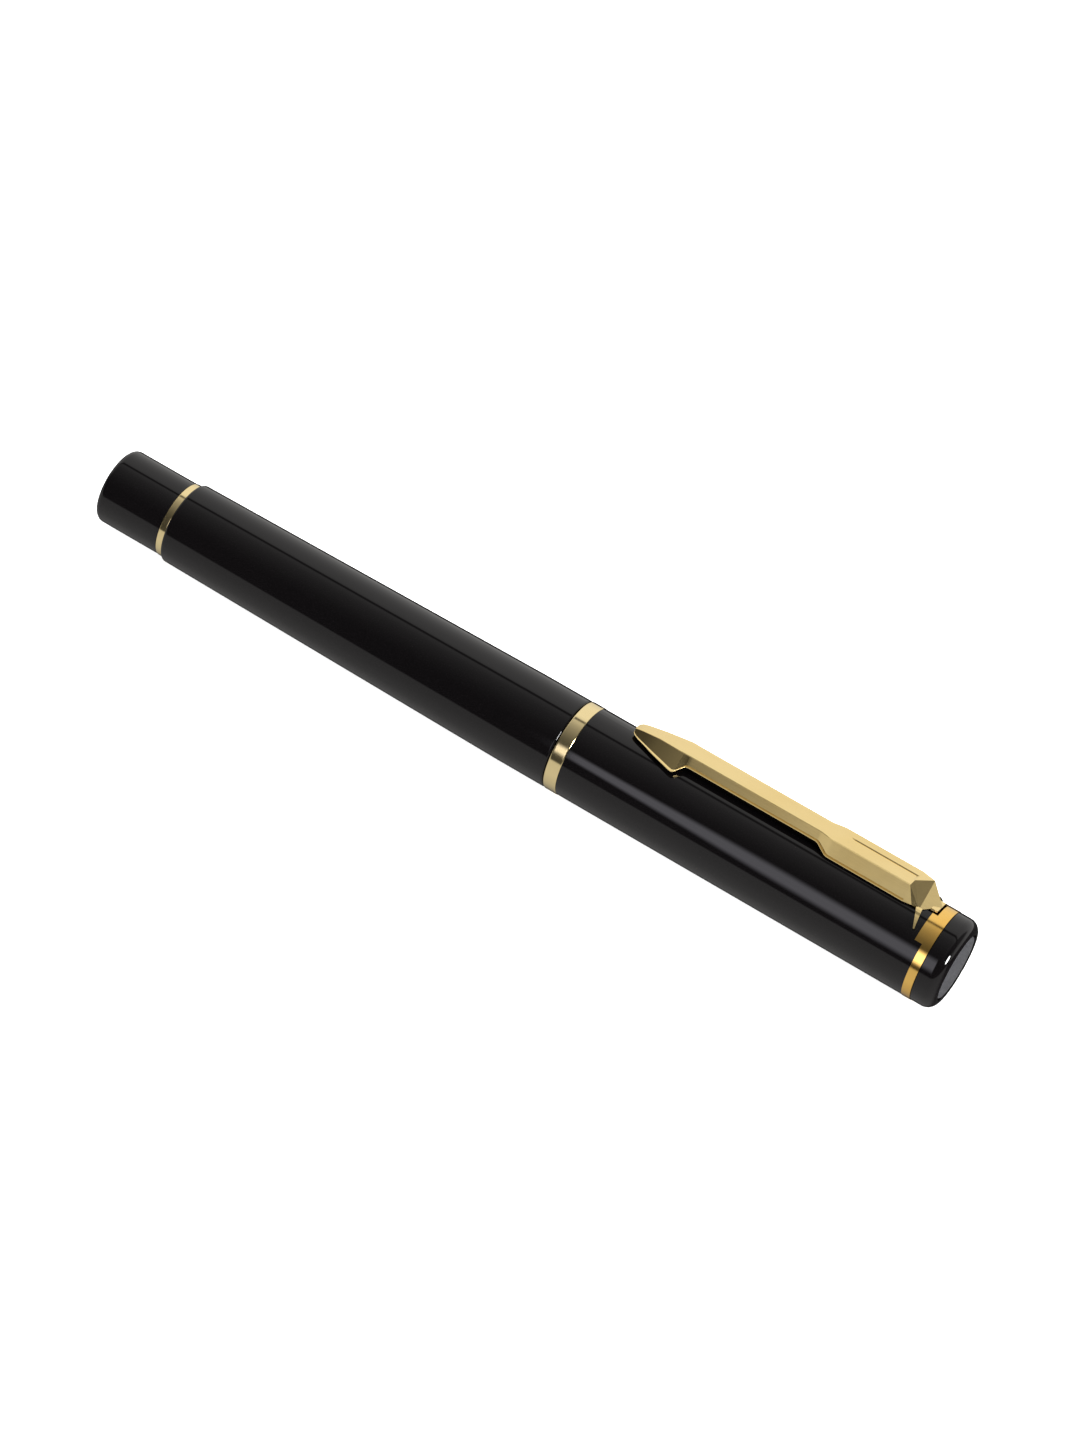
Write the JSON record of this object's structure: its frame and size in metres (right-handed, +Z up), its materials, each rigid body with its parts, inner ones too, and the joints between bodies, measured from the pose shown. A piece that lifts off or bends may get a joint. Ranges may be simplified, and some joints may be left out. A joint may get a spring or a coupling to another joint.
{
  "type": "rollerball pen",
  "caption": "Capped rollerball pen with a lacquered barrel and cap, a spring clip, a screw-off barrel and a standard refill.",
  "frame": {"origin": "centre of the pen's footprint, on the surface that it lies on", "axes": "+X along the pen from the tail to the finial, +Z up through the clip, Y across the pen"},
  "size_m": [0.138, 0.0136, 0.016],
  "materials": {
    "black_lacquer": "gloss",
    "black_resin": "gloss",
    "grip_resin": "satin",
    "gold_plate": "polished",
    "ring_brass": "polished",
    "turned_brass": "satin",
    "disc_grey": "satin",
    "liner_plastic": "satin",
    "seat_plastic": "satin",
    "spring_steel": "polished",
    "refill_shell": "satin",
    "refill_dark": "satin",
    "ink_fibre": "matte",
    "point_metal": "polished",
    "ball_metal": "polished"
  },
  "bodies": {
    "section": {"section_core": "turned_brass", "section_collar": "gold_plate", "snap_ring": "spring_steel", "grip_section": "grip_resin", "nose_cone": "gold_plate"},
    "cap": {"cap_lip_band": "gold_plate", "cap_tube": "black_lacquer", "inner_cap": "liner_plastic", "cap_head": "turned_brass", "clip_ring": "ring_brass", "finial_stud": "turned_brass", "finial": "black_resin", "finial_disc": "disc_grey"},
    "clip": {"clip": "gold_plate"},
    "spring": {"refill_spring": "spring_steel"},
    "seat": {"spring_seat": "seat_plastic"},
    "barrel": {"barrel_tube": "black_lacquer", "barrel_bush": "turned_brass", "tail_ring": "gold_plate", "tail_plug": "black_resin"},
    "refill": {"refill_tube": "refill_shell", "refill_end_plug": "refill_dark", "ink_reservoir": "ink_fibre", "refill_feed": "refill_dark", "ink_wick": "ink_fibre", "refill_point": "point_metal"},
    "ball": {"writing_ball": "ball_metal"}
  },
  "joints": [
    {"name": "cap_pull", "type": "slide", "parent": "section", "child": "cap", "axis": [1, 0, 0], "range_m": [0, 0.06]},
    {"name": "clip_flex", "type": "hinge", "parent": "cap", "child": "clip", "pos_m": [0.0632, 0, 0.013], "axis": [0, 1, 0], "range_deg": [0, 5], "stiffness_Nm_per_rad": 1.5, "springref_deg": -1.15},
    {"name": "barrel_pull", "type": "slide", "parent": "section", "child": "spring", "axis": [-1, 0, 0], "range_m": [0, 0.075]},
    {"name": "barrel_draw", "type": "slide", "parent": "spring", "child": "seat", "axis": [-1, 0, 0], "range_m": [0, 0.0051]},
    {"name": "barrel_turn", "type": "hinge", "parent": "seat", "child": "barrel", "pos_m": [-0.03, 0, 0.0068], "axis": [-1, 0, 0], "range_deg": [0, 1800]},
    {"name": "refill_float", "type": "slide", "parent": "section", "child": "refill", "axis": [-1, 0, 0], "range_m": [0, 0.0006], "stiffness_N_per_m": 500, "springref_m": -0.002, "deforming": ["refill_spring"]},
    {"name": "ball_roll", "type": "hinge", "parent": "refill", "child": "ball", "pos_m": [0.05065, 0, 0.0068], "axis": [0, 1, 0], "continuous": true}
  ],
  "couplings": [
    {"joint": "barrel_draw", "follows": "barrel_turn", "m_per_rad": 0.00015915}
  ]
}
